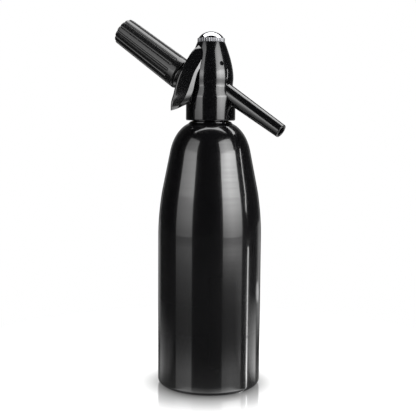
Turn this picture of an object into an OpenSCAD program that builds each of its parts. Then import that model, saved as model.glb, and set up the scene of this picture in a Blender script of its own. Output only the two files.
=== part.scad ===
// Hand-held sparkling water maker: a pressure bottle with a screw-on dispensing head.
// Origin: centre of the bottle's base, +Z up. The spout points along +X, the gas
// charger holder along -X, and the thumb lever to the front left. Millimetres.

/* [Bottle] */
// Outer radius of the straight wall
bottle_r = 45; // [40:0.5:50]
// Thickness of the aluminium wall
bottle_wall = 1.6; // [1:0.1:2.5]
// Thickness of the base
base_t = 2.5; // [2:0.1:4]
// Radius of the rounded edge at the base
foot_fillet = 4.5; // [3:0.5:6]
// Rise of the hollow pressed into the base
base_rise = 5; // [2:0.5:8]
// Inner radius of the flat foot ring
foot_ring_r = 34; // [28:0.5:35]
// Height of the straight wall
straight_h = 132; // [115:1:150]
// Rise of the curve from the straight wall into the taper
flare_rise = 38; // [30:1:46]
// Radius at the lower end of the taper
taper_r = 41.8; // [39:0.1:42.5]
// Rise of the straight taper
taper_rise = 35; // [28:1:42]
// Radius at the upper end of the taper
shoulder_r = 34.8; // [32:0.1:35.5]
// Rise of the round shoulder
shoulder_rise = 22.4; // [20:0.2:26]
// Radius at the upper end of the round shoulder
shoulder_top_r = 22; // [20:0.1:23.5]
// Share of the shoulder's rise that its fullness takes
shoulder_fullness = 0.67; // [0.55:0.01:0.72]
// Rise of the fillet between shoulder and neck
neck_rise = 2.5; // [2:0.1:4]
// Radius of the plain neck below the thread
neck_r = 18.2; // [17:0.1:18.4]
// Height of the threaded neck above the plain neck
neck_h = 13.7; // [12:0.1:16]
// Outer radius of the threaded neck
thread_r = 15.5; // [15:0.1:16]
// Radius of the mouth
mouth_r = 12.6; // [12.3:0.1:13.2]

/* [Head shell] */
// Gap between the shoulder and the head's lower rim
head_gap = 1.9; // [1:0.1:3]
// Radius of the collar
collar_r = 21.3; // [20.6:0.1:23]
// Radius of the recess inside the collar
recess_r = 17.9; // [17.6:0.1:18.2]
// Height of the collar's straight wall above the web
collar_h = 4.4; // [3:0.1:6]
// Rounding of the collar's lower edge
collar_edge = 1.2; // [0.6:0.1:2]
// Height of the waist above the web
waist_h = 15.7; // [14:0.1:17.5]
// Radius of the waist
waist_r = 19; // [18.3:0.1:19.4]
// Height of the widest part of the upper shell above the web
belly_h = 21.3; // [20:0.1:24]
// Radius of the widest part of the upper shell
belly_r = 19.4; // [18.8:0.1:20.5]
// Height of the shell's top land above the web
crown_h = 51.7; // [49:0.1:55]
// Radius of the shell's top land
crown_r = 11.9; // [11.8:0.1:13]
// Radius of the cavity round the lever hub
cavity_r = 7.6; // [7.4:0.1:8.2]

/* [Neck joint] */
// Thickness of the measuring tube's flange
flange_t = 1.2; // [0.8:0.1:2]
// Thickness of the flat head gasket
gasket_t = 1.8; // [1:0.1:2.5]
// Outer radius of the head gasket
gasket_r = 15.4; // [15:0.1:15.8]
// Inner radius of the head gasket
gasket_bore_r = 12.9; // [12.6:0.1:13.5]
// Length of the threaded insert
insert_h = 10.6; // [9:0.1:12]
// Outer radius of the measuring tube
measure_r = 10.2; // [10:0.1:10.5]
// Wall of the measuring tube
measure_wall = 1.2; // [0.8:0.1:1.4]
// Length of the measuring tube below the mouth
measure_len = 68; // [50:1:90]
// Radius of a gas hole in the flange
gas_hole_r = 0.9; // [0.6:0.1:0.95]
// Number of gas holes in the flange
gas_holes = 6; // [4:1:10]

/* [Valve] */
// Outer radius of the valve body
valve_r = 8; // [7.8:0.1:8.3]
// Height of the valve seat above the web
seat_h = 6.6; // [6:0.1:8]
// Radius of the hole through the seat
seat_bore_r = 2.9; // [2.5:0.1:3.2]
// Length of the valve body below the web
valve_drop = 12.6; // [11:0.1:15]
// Radius of the spring room
spring_room_r = 5.2; // [5:0.1:5.6]
// Radius of the outlet chamber
chamber_r = 3.6; // [3.3:0.1:3.8]
// Height of the outlet chamber
chamber_h = 10; // [9.6:0.1:10.4]
// Radius of the room for the stem seal
seal_room_r = 4.6; // [4.4:0.1:5]
// Thickness of the stem seal
stem_seal_t = 1.7; // [1.2:0.1:2]
// Radius of the valve stem
stem_r = 1.6; // [1.2:0.1:1.8]
// Radius of the button on top of the stem
button_r = 6.6; // [6:0.1:7]
// Thickness of the button
button_t = 1.3; // [1:0.1:1.6]
// Radius of the rubber washer on the stem
washer_r = 4.5; // [4.2:0.1:4.8]
// Thickness of the rubber washer
washer_t = 2; // [1.5:0.1:2.5]
// Radius of the spring's wire
wire_r = 0.45; // [0.3:0.05:0.6]
// Mean radius of the spring's coils
coil_r = 3.5; // [3.2:0.1:4]
// Number of turns of the spring
coil_turns = 6; // [4:1:9]
// Outer radius of the dip tube
dip_r = 3.5; // [3:0.1:3.8]
// Wall of the dip tube
dip_wall = 1; // [0.6:0.1:1.2]
// Gap between the dip tube and the bottle's floor
dip_gap = 4; // [3:0.5:12]

/* [Lever] */
// Direction of the lever round the head
lever_az = -120; // [-130:1:-110]
// Height of the pivot pin above the web
pin_h = 33.3; // [32.9:0.1:34]
// Radius of the pivot pin
pin_r = 1.5; // [1.2:0.1:1.8]
// Length of the pivot pin
pin_len = 31; // [28:0.5:33]
// Radius of the countersunk mouth of the pin hole
pin_mouth_r = 1.9; // [1.9:0.1:2.6]
// Radius of the lever arm's hub
hub_r = 4.5; // [4:0.1:4.8]
// Width of the lever arm's hub
hub_w = 7.6; // [6:0.1:8]
// Thickness of the lever arm's plate
arm_t = 3.2; // [2:0.1:4]
// Distance of the lever's heel from the pin
heel_reach = 4.4; // [4:0.1:4.6]
// Radius of the lever's heel
heel_r = 2; // [1.5:0.1:2.2]
// Reach of the lever arm into the paddle
arm_reach = 22; // [18:0.5:24]
// Half width of the paddle at its widest
paddle_hw = 9.3; // [9:0.1:12]
// Wall of the hollow part of the paddle
paddle_wall = 2.2; // [1.6:0.1:3]
// Depth of the pocket's floor from the head's axis
pocket_floor = 9; // [8.7:0.1:9.4]
// Gap between the paddle and its pocket
pocket_gap = 0.5; // [0.3:0.1:1]

/* [Spout] */
// Slope of the spout below the horizontal
spout_tilt = 32; // [28:1:36]
// Height above the web at which the spout's line meets the head's axis
spout_h = 19.3; // [18.5:0.1:20]
// Length of the spout's line from the head's axis to its mouth
spout_len = 79.6; // [65:0.1:95]
// Outer radius of the spout at its root
spout_root_r = 7.45; // [6.8:0.05:7.6]
// Outer radius of the spout at its mouth
spout_tip_r = 5.9; // [5.4:0.05:6.6]
// Radius of the spout's bore
spout_bore_r = 3.9; // [3:0.1:4.4]
// Radius of the spout's shank inside the head
shank_r = 4.4; // [4:0.1:4.6]

/* [Charger holder] */
// Slope of the holder above the horizontal
holder_tilt = 33; // [30:1:36]
// Height above the web at which the holder's line meets the head's axis
holder_h = 5.4; // [5:0.1:6]
// Distance from the head's axis to the holder's near end
holder_near = 34.5; // [34:0.1:37]
// Radius of the holder at its near end
holder_near_r = 13.7; // [13.2:0.1:14.5]
// Radius of the holder at its far end
holder_far_r = 12.5; // [12.3:0.1:13.5]
// Thickness of the holder's end wall
holder_end_t = 2.6; // [1.5:0.1:4]
// Number of grip grooves
grooves = 14; // [10:1:16]
// Radius of a grip groove
groove_r = 1.4; // [0.8:0.1:1.6]
// Length of the plain band before the grooves
plain_band = 9; // [7:0.5:14]
// Radius of the holder's thread
holder_thread_r = 11; // [10.9:0.1:11.3]
// Length of the holder's thread
holder_thread_len = 8.8; // [8:0.1:10]
// Radius of the head's boss for the holder
boss_r = 8; // [7.6:0.1:8.6]
// Wall of the metal liner
liner_wall = 1; // [0.6:0.1:1.2]
// Radius of the gas charger
charger_r = 9.3; // [9:0.1:9.4]
// Length of the gas charger
charger_len = 65.5; // [60:0.5:68]
// Radius of the gas charger's neck
charger_neck_r = 4.3; // [4:0.1:4.4]

/* [Top cap] */
// Radius of the cap's knurled ring
cap_r = 11.7; // [11:0.1:12.2]
// Height of the knurled ring
cap_ring_h = 3.4; // [2.5:0.1:5]
// Rise of the dome above the ring
dome_rise = 6.1; // [4:0.1:8]
// Number of flutes round the ring
flutes = 36; // [24:1:48]
// Radius of a flute
flute_r = 0.4; // [0.2:0.05:0.5]
// Radius of the cap's threaded shank
cap_shank_r = 6; // [5.5:0.1:6.2]
// Length of the cap's threaded shank
cap_shank_len = 8.8; // [7:0.1:9.4]

/* [Fits] */
// Radial gap of a screw thread or a running shaft
run_fit = 0.06; // [0.03:0.01:0.09]
// Radial gap between pieces that are fixed together
seat_fit = 0.05; // [0.02:0.01:0.08]
// Gap round soft pieces
soft_gap = 0.3; // [0.2:0.05:0.35]

/* [Hidden] */
$fn = 64;
eps = 0.01;

// Heights up the bottle and the head
taper_z = straight_h + flare_rise;
shoulder_z = taper_z + taper_rise;
shoulder_top_z = shoulder_z + shoulder_rise;
neck_z = shoulder_top_z + neck_rise;
mouth_z = neck_z + neck_h;
gasket_z = mouth_z + flange_t;
web_z = gasket_z + gasket_t;
rim_z = neck_z + head_gap;
collar_z = web_z + collar_h;
waist_z = web_z + waist_h;
belly_z = web_z + belly_h;
crown_z = web_z + crown_h;

// Heights in the valve
seat_z = web_z + seat_h;
seat_lip_r = seat_bore_r + 0.9;
seat_lip_h = 0.4;
seat_t = 2.8;
washer_top_z = seat_z - seat_lip_h - seat_fit;
chamber_z = seat_z + seat_t;
seal_z = chamber_z + chamber_h;
gland_gap = 0.1;
gland_z = seal_z + stem_seal_t + gland_gap;
gland_shank_h = 1.8;
valve_top_z = gland_z + gland_shank_h;
gland_hex_h = 2.6;
gland_hex_r = 6.9;
valve_bottom_z = web_z - valve_drop;
nut_shank_h = 4.2;
spring_foot_z = valve_bottom_z + nut_shank_h;
stem_flange_t = 1.25;
stem_flange_r = 4.3;
stem_flange_z = washer_top_z - washer_t - stem_flange_t;
spring_top_z = stem_flange_z - seat_fit;
nut_hex_h = 3.5;
nut_hex_r = 7.9;
nut_flow_r = 2.4;
gas_channel_r = 1;
gas_ring_r = (gasket_bore_r + measure_r) / 2 - 0.2;
valve_seal_h = 1.8;
valve_seal_r = valve_r + 1.4;

// The lever's pin, heel and button
pin_z = web_z + pin_h;
pin_mouth_gap = 0.2;
button_gap = 0.05;
button_top_z = pin_z - hub_r - soft_gap;
heel_drop = button_top_z + button_gap + heel_r - pin_z;
slot_hw = hub_w / 2 + 0.4;
arm_top = 5.5;
arm_foot = 6;

// Distances along the spout's line from the head's axis
shank_start = 14.6;
shank_end = 17.2;
spout_seal_t = 1.3;
outlet_r = 2;
shank_bore_r = 2.6;
root_socket_depth = 6.8;
spout_z = web_z + spout_h;

// Distances along the holder's line from the head's axis
holder_z = web_z + holder_h;
boss_end = holder_near - 8;
shroud_end = holder_near - soft_gap;
thread_end = shroud_end + holder_thread_len;
recess_start = thread_end - 6.5;
nipple_body_r = 7;
nipple_shank_r = 5;
nipple_start = boss_end - 5;
check_t = 2.2;
inlet_r = 1;
gas_bore_r = 0.8;
needle_r = 1.1;
needle_bore_r = 0.45;
charger_seal_t = 1.6;
charger_tip = recess_start + charger_seal_t + soft_gap;
charger_end = charger_tip + charger_len;
liner_r = charger_r + soft_gap + liner_wall;
liner_end = charger_end + soft_gap + liner_wall;
sleeve_end = liner_end + seat_fit + holder_end_t;
sleeve_thread_end = thread_end + 2.4;
gas_channel_top = holder_z + gas_ring_r * tan(holder_tilt);

// Fine points of the curves
curve_n = 14;
edge_n = 5;

// A point list along a quadratic curve from p0 to p2, drawn towards p1
function curve(p0, p1, p2, n = curve_n) =
    [for (i = [0:n]) let (t = i / n)
        (1 - t) * (1 - t) * p0 + 2 * t * (1 - t) * p1 + t * t * p2];

// A point list up a wall that passes smoothly from one radius to another
function sweep(p0, p1, n) =
    [for (i = [0:n]) let (t = i / n)
        [p0[0] + (p1[0] - p0[0]) * t * t * (3 - 2 * t), p0[1] + (p1[1] - p0[1]) * t]];

// A point list along an arc
function arc(c, r, a0, a1, n = edge_n) =
    [for (i = [0:n]) let (a = a0 + (a1 - a0) * i / n) c + r * [cos(a), sin(a)]];

function reversed(v) = [for (i = [len(v) - 1:-1:0]) v[i]];

// The bottle's wall from the straight part to the neck, moved inwards by t
function wall_line(t) =
    let (slope = (taper_r - shoulder_r) / taper_rise,
        a = shoulder_fullness * shoulder_rise,
        top = [shoulder_top_r - t, shoulder_top_z - 0.6 * t],
        low = [shoulder_r - t, shoulder_z])
    concat(
        curve([bottle_r - t, straight_h], [bottle_r - t, straight_h + 0.47 * flare_rise],
            [taper_r - t, taper_z]),
        curve(low, [low[0] - slope * a, shoulder_z + a], top));

// Turns the drawing so that +X runs out along the lever's direction
module lever_frame() {
    rotate([0, 0, lever_az]) children();
}

// Turns the drawing so that +Z runs out along the spout from the head's axis
module spout_frame() {
    translate([0, 0, spout_z]) rotate([0, 90 + spout_tilt, 0]) children();
}

// Turns the drawing so that +Z runs out along the charger holder
module holder_frame() {
    translate([0, 0, holder_z]) rotate([0, holder_tilt - 90, 0]) children();
}

module ring(r, bore, h, z = 0) {
    translate([0, 0, z]) difference() {
        cylinder(r = r, h = h);
        translate([0, 0, -eps]) cylinder(r = bore, h = h + 2 * eps);
    }
}

// A hexagonal prism measured across its corners
module hexagon(r, h, z = 0) {
    translate([0, 0, z]) cylinder(r = r, h = h, $fn = 6);
}

module bottle() {
    outer = concat(
        curve([0, base_rise], [0.6 * foot_ring_r, base_rise], [foot_ring_r, 0], 8),
        [[bottle_r - foot_fillet, 0]],
        arc([bottle_r - foot_fillet, foot_fillet], foot_fillet, -90, 0, 8),
        wall_line(0),
        curve([shoulder_top_r, shoulder_top_z], [neck_r, neck_z - 0.2], [neck_r, neck_z], 4),
        [[neck_r, neck_z + 0.6], [thread_r, neck_z + 1.6], [thread_r, mouth_z - 0.8],
            [thread_r - 0.8, mouth_z]]);
    inner = concat(
        [[mouth_r, mouth_z], [mouth_r, neck_z - 1]],
        reversed(wall_line(bottle_wall)),
        arc([bottle_r - foot_fillet, base_t + foot_fillet - bottle_wall],
            foot_fillet - bottle_wall, 0, -90, 6),
        curve([foot_ring_r, base_t], [0.6 * foot_ring_r, base_rise + base_t],
            [0, base_rise + base_t], 8));
    color([0.03, 0.03, 0.032]) rotate_extrude($fn = 128) polygon(concat(outer, inner));
}

// Hangs from the bottle's mouth and leaves a gas space above the water
module measuring_tube() {
    inner_r = measure_r - measure_wall;
    color([0.86, 0.86, 0.84]) difference() {
        union() {
            ring(thread_r - 0.9, inner_r, flange_t, mouth_z);
            ring(measure_r, inner_r, measure_len + eps, mouth_z - measure_len);
        }
        for (i = [0:gas_holes - 1])
            rotate([0, 0, 180 + i * 360 / gas_holes]) translate([gas_ring_r, 0, mouth_z - eps])
                cylinder(r = gas_hole_r, h = flange_t + 2 * eps, $fn = 24);
    }
}

module head_gasket() {
    color([0.12, 0.12, 0.12]) ring(gasket_r, gasket_bore_r, gasket_t, gasket_z);
}

// Half width of the paddle at a height above or below the pin, down from its tip
paddle_tip_h = 16.6;
paddle_foot_h = -34.3;
function paddle_front(h) =
    let (t = (paddle_tip_h - h) / paddle_tip_h)
    h <= 0 ? paddle_hw : paddle_hw * pow(1 - pow(1 - min(t, 1), 2.3), 0.55);

// The front outline of the pocket that the paddle's top lies in
module pocket_outline() {
    low = -13.5;
    steps = 46;
    side = [for (i = [0:steps]) let (h = paddle_tip_h - i * (paddle_tip_h - low) / steps)
        [paddle_front(h) + pocket_gap, pin_z + h]];
    polygon(concat([[0, pin_z + paddle_tip_h + pocket_gap]], side,
        [for (p = reversed(side)) [-p[0], p[1]]]));
}

module head_housing() {
    profile = concat(
        [[0, rim_z], [collar_r - collar_edge, rim_z]],
        arc([collar_r - collar_edge, rim_z + collar_edge], collar_edge, -90, 0),
        sweep([collar_r, collar_z], [waist_r, waist_z], 12),
        sweep([waist_r, waist_z], [belly_r, belly_z], 6),
        curve([belly_r, belly_z], [belly_r, belly_z + 0.385 * (crown_z - belly_z)],
            [crown_r, crown_z], 18),
        [[0, crown_z]]);
    color([0.03, 0.03, 0.032]) difference() {
        union() {
            rotate_extrude($fn = 128) polygon(profile);
            holder_frame() translate([0, 0, 12]) cylinder(r = boss_r, h = boss_end - 12);
        }
        // Recess for the threaded insert, the gasket and the bottle's neck
        translate([0, 0, rim_z - eps]) cylinder(r = recess_r, h = web_z - rim_z + eps);
        // Bore for the valve body, with the step that its seal sits in
        translate([0, 0, web_z - 1]) cylinder(r = valve_r + seat_fit, h = valve_top_z - web_z + 1);
        translate([0, 0, web_z - 1]) cylinder(r = valve_seal_r, h = valve_seal_h + 1);
        // Cavity for the hub and the bore for the cap's shank
        translate([0, 0, valve_top_z - eps])
            cylinder(r = cavity_r, h = pin_z + hub_r + 3 - valve_top_z);
        translate([0, 0, pin_z]) cylinder(r = cap_shank_r + run_fit, h = crown_z - pin_z + 1);
        // Seat for the cap's seal
        translate([0, 0, crown_z - 1.3]) cylinder(r = cap_shank_r + 2.2, h = 3);
        // Slot and pocket for the lever, and the pin's bore
        lever_frame() {
            translate([0, -slot_hw, pin_z - 8.5]) cube([belly_r + 5, 2 * slot_hw, 14.5]);
            translate([pocket_floor, 0, 0]) rotate([90, 0, 90])
                linear_extrude(height = belly_r) pocket_outline();
            translate([0, 0, pin_z]) rotate([90, 0, 0]) {
                cylinder(r = pin_r + seat_fit / 2, h = 60, center = true);
                for (s = [0, 180]) rotate([s, 0, 0])
                    translate([0, 0, pin_len / 2 + pin_mouth_gap])
                        cylinder(r = pin_mouth_r, h = 10);
            }
        }
        // Outlet passage and the spout's socket
        spout_frame() {
            cylinder(r = outlet_r, h = shank_start);
            translate([0, 0, shank_start - spout_seal_t])
                cylinder(r = shank_r + seat_fit, h = shank_end);
            translate([0, 0, shank_end]) cylinder(r = spout_root_r + seat_fit, h = 20);
        }
        // Gas inlet passage, the bore for the nipple and the channel down into the neck
        holder_frame() {
            translate([0, 0, gas_ring_r / cos(holder_tilt) - 1]) cylinder(r = inlet_r, h = 20);
            translate([0, 0, nipple_start - check_t - 0.2])
                cylinder(r = nipple_shank_r + seat_fit, h = 30);
            // Spot face round the end of the boss
            translate([0, 0, boss_end]) cylinder(r = boss_r + 1.3, h = 10);
        }
        translate([-gas_ring_r, 0, web_z - 1])
            cylinder(r = gas_channel_r, h = gas_channel_top - web_z + 1, $fn = 32);
    }
}

// Threaded brass ring that takes the bottle's neck
module neck_insert() {
    color([0.72, 0.56, 0.28])
        ring(recess_r - seat_fit, thread_r + run_fit, insert_h, web_z - gasket_t + 0.4 - insert_h);
}

module valve_body() {
    color([0.74, 0.58, 0.3]) difference() {
        translate([0, 0, valve_bottom_z])
            cylinder(r = valve_r, h = valve_top_z - valve_bottom_z);
        translate([0, 0, valve_bottom_z - eps])
            cylinder(r = spring_room_r, h = seat_z - valve_bottom_z - seat_lip_h);
        ring(spring_room_r, seat_lip_r, seat_lip_h + eps, seat_z - seat_lip_h - eps);
        translate([0, 0, seat_z - 2]) cylinder(r = seat_bore_r, h = seat_t + 3);
        translate([0, 0, chamber_z]) cylinder(r = chamber_r, h = chamber_h + 1);
        translate([0, 0, seal_z]) cylinder(r = seal_room_r, h = valve_top_z - seal_z + 1);
        spout_frame() translate([0, 0, 1]) cylinder(r = outlet_r, h = 20);
    }
}

module valve_seal() {
    color([0.1, 0.1, 0.1])
        ring(valve_seal_r - seat_fit, valve_r + seat_fit, valve_seal_h - 0.1, web_z + 0.05);
}

// Slides down when the lever's heel presses its button
module valve_stem() {
    color([0.8, 0.8, 0.82]) {
        translate([0, 0, stem_flange_z - 3])
            cylinder(r = stem_r, h = button_top_z - button_t - stem_flange_z + 3 + eps);
        translate([0, 0, stem_flange_z]) cylinder(r = stem_flange_r, h = stem_flange_t);
        translate([0, 0, button_top_z - button_t]) cylinder(r = button_r, h = button_t);
    }
}

module valve_washer() {
    color([0.1, 0.1, 0.1])
        ring(washer_r, stem_r + seat_fit, washer_t, washer_top_z - washer_t);
}

module stem_seal() {
    color([0.1, 0.1, 0.1])
        ring(seal_room_r - seat_fit, stem_r + soft_gap, stem_seal_t, seal_z);
}

module gland_nut() {
    color([0.74, 0.58, 0.3]) difference() {
        union() {
            translate([0, 0, gland_z]) cylinder(r = seal_room_r - seat_fit, h = gland_shank_h + eps);
            hexagon(gland_hex_r, gland_hex_h, valve_top_z);
        }
        translate([0, 0, gland_z - 1]) cylinder(r = stem_r + run_fit, h = 20);
    }
}

// Helical compression spring: a round wire swept by its own rule
module valve_spring() {
    per_turn = 16;
    sides = 8;
    steps = coil_turns * per_turn;
    foot = spring_foot_z + wire_r;
    rise = spring_top_z - wire_r - foot;
    points = [for (i = [0:steps], j = [0:sides - 1])
        let (a = 360 * i / per_turn, b = 360 * j / sides, r = coil_r + wire_r * cos(b))
        [r * cos(a), r * sin(a), foot + rise * i / steps + wire_r * sin(b)]];
    skin = [for (i = [0:steps - 1], j = [0:sides - 1])
        let (k = (j + 1) % sides)
        [i * sides + j, i * sides + k, (i + 1) * sides + k, (i + 1) * sides + j]];
    ends = [[for (j = [sides - 1:-1:0]) j], [for (j = [0:sides - 1]) steps * sides + j]];
    color([0.82, 0.82, 0.84]) polyhedron(points, concat(skin, ends));
}

module dip_tube_nut() {
    color([0.74, 0.58, 0.3]) difference() {
        union() {
            translate([0, 0, valve_bottom_z - eps])
                cylinder(r = spring_room_r - seat_fit, h = nut_shank_h + eps);
            hexagon(nut_hex_r, nut_hex_h, valve_bottom_z - nut_hex_h);
        }
        translate([0, 0, valve_bottom_z - nut_hex_h - 1])
            cylinder(r = dip_r + seat_fit, h = nut_hex_h + 1 + nut_shank_h / 2);
        translate([0, 0, valve_bottom_z]) cylinder(r = nut_flow_r, h = nut_shank_h + 1);
    }
}

module dip_tube() {
    foot_z = base_rise + base_t + dip_gap;
    top_z = valve_bottom_z + nut_shank_h / 2 - seat_fit;
    color([0.9, 0.9, 0.88]) difference() {
        ring(dip_r, dip_r - dip_wall, top_z - foot_z, foot_z);
        // Slanted cut that keeps the tube from sucking itself shut
        translate([0, 0, foot_z]) rotate([0, 30, 0])
            translate([-20, -20, -40]) cube([40, 40, 40]);
    }
}

module pivot_pin() {
    color([0.82, 0.82, 0.84]) lever_frame() translate([0, 0, pin_z]) rotate([90, 0, 0])
        cylinder(r = pin_r, h = pin_len, center = true);
}

// The front end of the arm's plate, made larger all round by gap
function arm_nose(gap) = [
    [arm_reach - 4 + gap, arm_top + gap], [arm_reach + gap, 2 + gap],
    [arm_reach + gap, -3.5 - gap], [arm_reach - 5 + gap, -arm_foot - gap]];

// Steel bell crank: hub on the pin, heel on the button, plate inside the paddle
module lever_arm() {
    plate = concat(arm_nose(0), [[heel_reach + heel_r, heel_drop + 0.4], [0, 0], [0, hub_r]]);
    color([0.78, 0.78, 0.8]) lever_frame() translate([0, 0, pin_z]) difference() {
        union() {
            rotate([90, 0, 0]) cylinder(r = hub_r, h = hub_w, center = true);
            translate([0, arm_t / 2, 0]) rotate([90, 0, 0])
                linear_extrude(height = arm_t) polygon(plate);
            translate([heel_reach, 0, heel_drop]) rotate([90, 0, 0])
                cylinder(r = heel_r, h = arm_t, center = true);
        }
        rotate([90, 0, 0]) cylinder(r = pin_r + run_fit, h = hub_w + 2, center = true);
    }
}

// Sections down the paddle. Each gives the height of its inner edge above the pin, the
// half widths of the ridge and the inner edge as shares of the paddle's, the distances
// of the inner edge, the ridge and the keel from the head's axis, and the keel's drop.
paddle_sections = [
    [16.6, 0.03, 1.00, 9.6, 10.2, 10.8, 0],
    [14.2, 0.32, 1.00, 9.6, 11.6, 13.9, 0],
    [12.0, 0.56, 1.00, 9.6, 12.3, 16.7, 0],
    [8.5, 0.82, 1.00, 9.8, 12.6, 19.7, 0],
    [4.6, 0.94, 1.00, 10.7, 13.6, 22.6, 0.2],
    [0.1, 0.96, 1.00, 12.7, 16.3, 25.8, 0.4],
    [-7.2, 0.97, 1.00, 18.1, 21.1, 30.6, 1.4],
    [-14.9, 0.97, 1.00, 20.7, 24.5, 33.9, 2.5],
    [-21.9, 0.95, 1.00, 22.4, 27.3, 36.0, 3.6],
    [-28.3, 0.87, 0.96, 24.8, 30.5, 38.4, 4.8],
    [-34.3, 0.48, 0.62, 26.2, 35.6, 38.7, 5.5]];

// A value between the paddle's sections, on a smooth line through them
function section_at(s) =
    let (last = len(paddle_sections) - 1, i = min(floor(s), last - 1), t = s - i,
        p0 = paddle_sections[max(i - 1, 0)], p1 = paddle_sections[i],
        p2 = paddle_sections[i + 1], p3 = paddle_sections[min(i + 2, last)])
    0.5 * (2 * p1 + t * (p2 - p0) + t * t * (2 * p0 - 5 * p1 + 4 * p2 - p3)
        + t * t * t * (3 * p1 - p0 - 3 * p2 + p3));

// One closed section of the paddle, moved inwards by t, with its back at inner. The
// flat facets beside the keel meet in a small rounding.
function paddle_ring(s, t, back) =
    let (v = section_at(s), rounding = 0.2, n = 5,
        edge_w = max(v[2] * paddle_front(v[0]) - t, 0.3),
        ridge_w = max(v[1] * paddle_hw - t, 0.25),
        ridge = v[4] - t * 0.7, keel = v[5] - t,
        apex = (keel - rounding / 2 * ridge) / (1 - rounding / 2),
        start = [apex + rounding * (ridge - apex), rounding * ridge_w],
        nose = curve(start, [apex, 0], [start[0], -start[1]], 2 * n),
        half = concat([[v[3] - back, edge_w], [ridge, ridge_w]], [for (k = [0:n]) nose[k]]),
        slope = v[6] / (v[5] - v[3]),
        outline = concat(half, [for (k = [len(half) - 2:-1:0]) [half[k][0], -half[k][1]]]))
    [for (p = outline) [p[0], p[1], pin_z + v[0] - slope * (p[0] - v[3])]];

// Skins a stack of rings of equal length and closes both ends
module skin_rings(rings) {
    n = len(rings[0]);
    m = len(rings);
    lower = [for (i = [0:m - 2], j = [0:n - 1])
        [i * n + j, (i + 1) * n + j, (i + 1) * n + (j + 1) % n]];
    upper = [for (i = [0:m - 2], j = [0:n - 1])
        [i * n + j, (i + 1) * n + (j + 1) % n, i * n + (j + 1) % n]];
    ends = [[for (j = [0:n - 1]) j], [for (j = [n - 1:-1:0]) (m - 1) * n + j]];
    polyhedron([for (r = rings) each r], concat(lower, upper, ends));
}

// Moulded thumb paddle: solid where it hangs on the arm, hollow below
module lever_paddle() {
    last = len(paddle_sections) - 1;
    hollow_top = 5.12;
    hollow_foot = last - 0.43;
    steps = 12;
    color([0.03, 0.03, 0.032]) lever_frame() difference() {
        skin_rings([for (s = [0:0.25:last]) paddle_ring(s, 0, 0)]);
        skin_rings([for (i = [0:steps])
            paddle_ring(hollow_top + i * (hollow_foot - hollow_top) / steps, paddle_wall, 6.3)]);
        // Slot that takes the arm's plate
        translate([0, arm_t / 2 + seat_fit, pin_z]) rotate([90, 0, 0])
            linear_extrude(height = arm_t + 2 * seat_fit)
                polygon(concat(arm_nose(seat_fit), [[0, -arm_foot - 0.6], [0, arm_top + 1]]));
    }
}

module spout() {
    root = shank_end + seat_fit;
    color([0.03, 0.03, 0.032]) spout_frame() difference() {
        union() {
            translate([0, 0, shank_start]) cylinder(r = shank_r, h = root - shank_start + eps);
            translate([0, 0, root])
                cylinder(r1 = spout_root_r, r2 = spout_tip_r, h = spout_len - root);
        }
        translate([0, 0, shank_start - 1]) cylinder(r = shank_bore_r, h = spout_len);
        translate([0, 0, root + root_socket_depth]) cylinder(r = spout_bore_r, h = spout_len);
    }
}

module spout_seal() {
    color([0.1, 0.1, 0.1]) spout_frame()
        ring(shank_r - seat_fit, shank_bore_r, spout_seal_t - 0.1, shank_start - spout_seal_t + 0.05);
}

// Flared cover between the head's boss and the charger holder
module inlet_shroud() {
    flare = [[boss_r, boss_end], [boss_r + 0.5, boss_end + 1.6], [holder_near_r - 1.6, shroud_end - 1.4],
        [holder_near_r - 1.3, shroud_end - 0.7], [holder_near_r - 1.5, shroud_end],
        [nipple_body_r + seat_fit, shroud_end], [nipple_body_r + seat_fit, boss_end]];
    color([0.04, 0.04, 0.042]) holder_frame() rotate_extrude($fn = 96) polygon(flare);
}

// Brass inlet with the holder's thread and a recess for the charger's neck
module charger_nipple() {
    color([0.74, 0.58, 0.3]) holder_frame() difference() {
        union() {
            translate([0, 0, nipple_start]) cylinder(r = nipple_shank_r, h = boss_end - nipple_start);
            translate([0, 0, boss_end]) cylinder(r = nipple_body_r, h = shroud_end - boss_end);
            translate([0, 0, shroud_end]) cylinder(r = holder_thread_r, h = holder_thread_len);
        }
        translate([0, 0, nipple_start - 1]) cylinder(r = gas_bore_r, h = recess_start - nipple_start);
        translate([0, 0, recess_start - 5]) cylinder(r = needle_r + seat_fit, h = 6);
        translate([0, 0, recess_start])
            cylinder(r = charger_neck_r + soft_gap + 0.1, h = thread_end - recess_start + 1);
    }
}

module piercing_pin() {
    tip = charger_tip + 3;
    color([0.82, 0.82, 0.84]) holder_frame() difference() {
        union() {
            translate([0, 0, recess_start - 5]) cylinder(r = needle_r, h = tip - 1.6 - recess_start + 5);
            translate([0, 0, tip - 1.6]) cylinder(r1 = needle_r, r2 = needle_bore_r + 0.1, h = 1.6);
        }
        translate([0, 0, recess_start - 6]) cylinder(r = needle_bore_r, h = 20, $fn = 32);
    }
}

module charger_seal() {
    color([0.1, 0.1, 0.1]) holder_frame()
        ring(charger_neck_r, needle_r + soft_gap, charger_seal_t, recess_start);
}

// Rubber lip that lets gas into the bottle and no water back
module check_valve() {
    color([0.1, 0.1, 0.1]) holder_frame()
        ring(nipple_shank_r - seat_fit, gas_bore_r, check_t - 0.1, nipple_start - check_t);
}

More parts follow.
